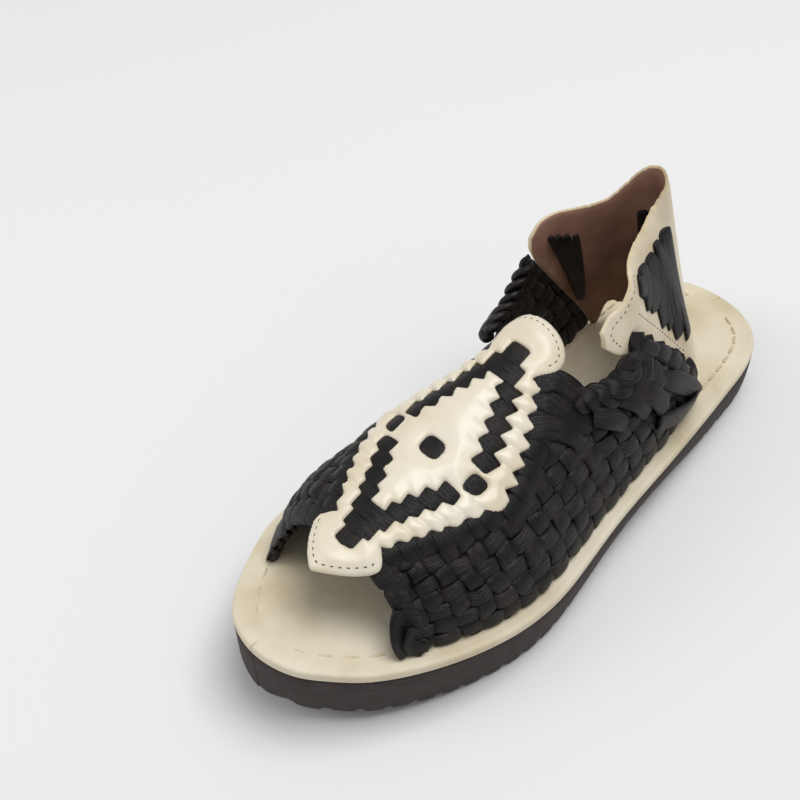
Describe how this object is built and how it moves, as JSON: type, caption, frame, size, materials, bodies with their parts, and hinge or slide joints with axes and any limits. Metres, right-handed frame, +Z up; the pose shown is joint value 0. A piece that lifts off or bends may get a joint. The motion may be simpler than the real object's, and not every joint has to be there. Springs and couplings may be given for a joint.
{
  "type": "huarache sandal",
  "caption": "Left huarache sandal: woven cord vamp with a windowed leather plate, open toe, leather heel strap with woven cords, leather footbed and ribbed foam sole.",
  "frame": {"origin": "on the floor under the middle of the sole's box", "axes": "+X to the toe, +Y to the outer side of the left foot, +Z up"},
  "size_m": [0.2684, 0.102, 0.1147],
  "materials": {
    "foam": "dark brown expanded rubber sole, fine pebbled skin, matt",
    "footbed_leather": "natural cream leather, smooth grain, rounded edge, lock stitched round the rim",
    "cord": "flat braided black cord with fine lengthwise ribs, soft sheen",
    "plate_leather": "cream leather, puffed between its slits, semi gloss grain, raw pale edge",
    "strap_leather": "cream leather outside, brown suede inside, raw pale edge"
  },
  "bodies": {
    "root": {"outsole": "foam", "footbed": "footbed_leather", "upper_weave": "cord", "vamp_plate": "plate_leather", "heel_strap": "strap_leather", "heel_cords_outer_side": "cord", "heel_cords_outer_inside": "cord", "heel_cords_inner_side": "cord", "heel_cords_inner_inside": "cord", "heel_cords_inner_back": "cord"}
  },
  "joints": []
}
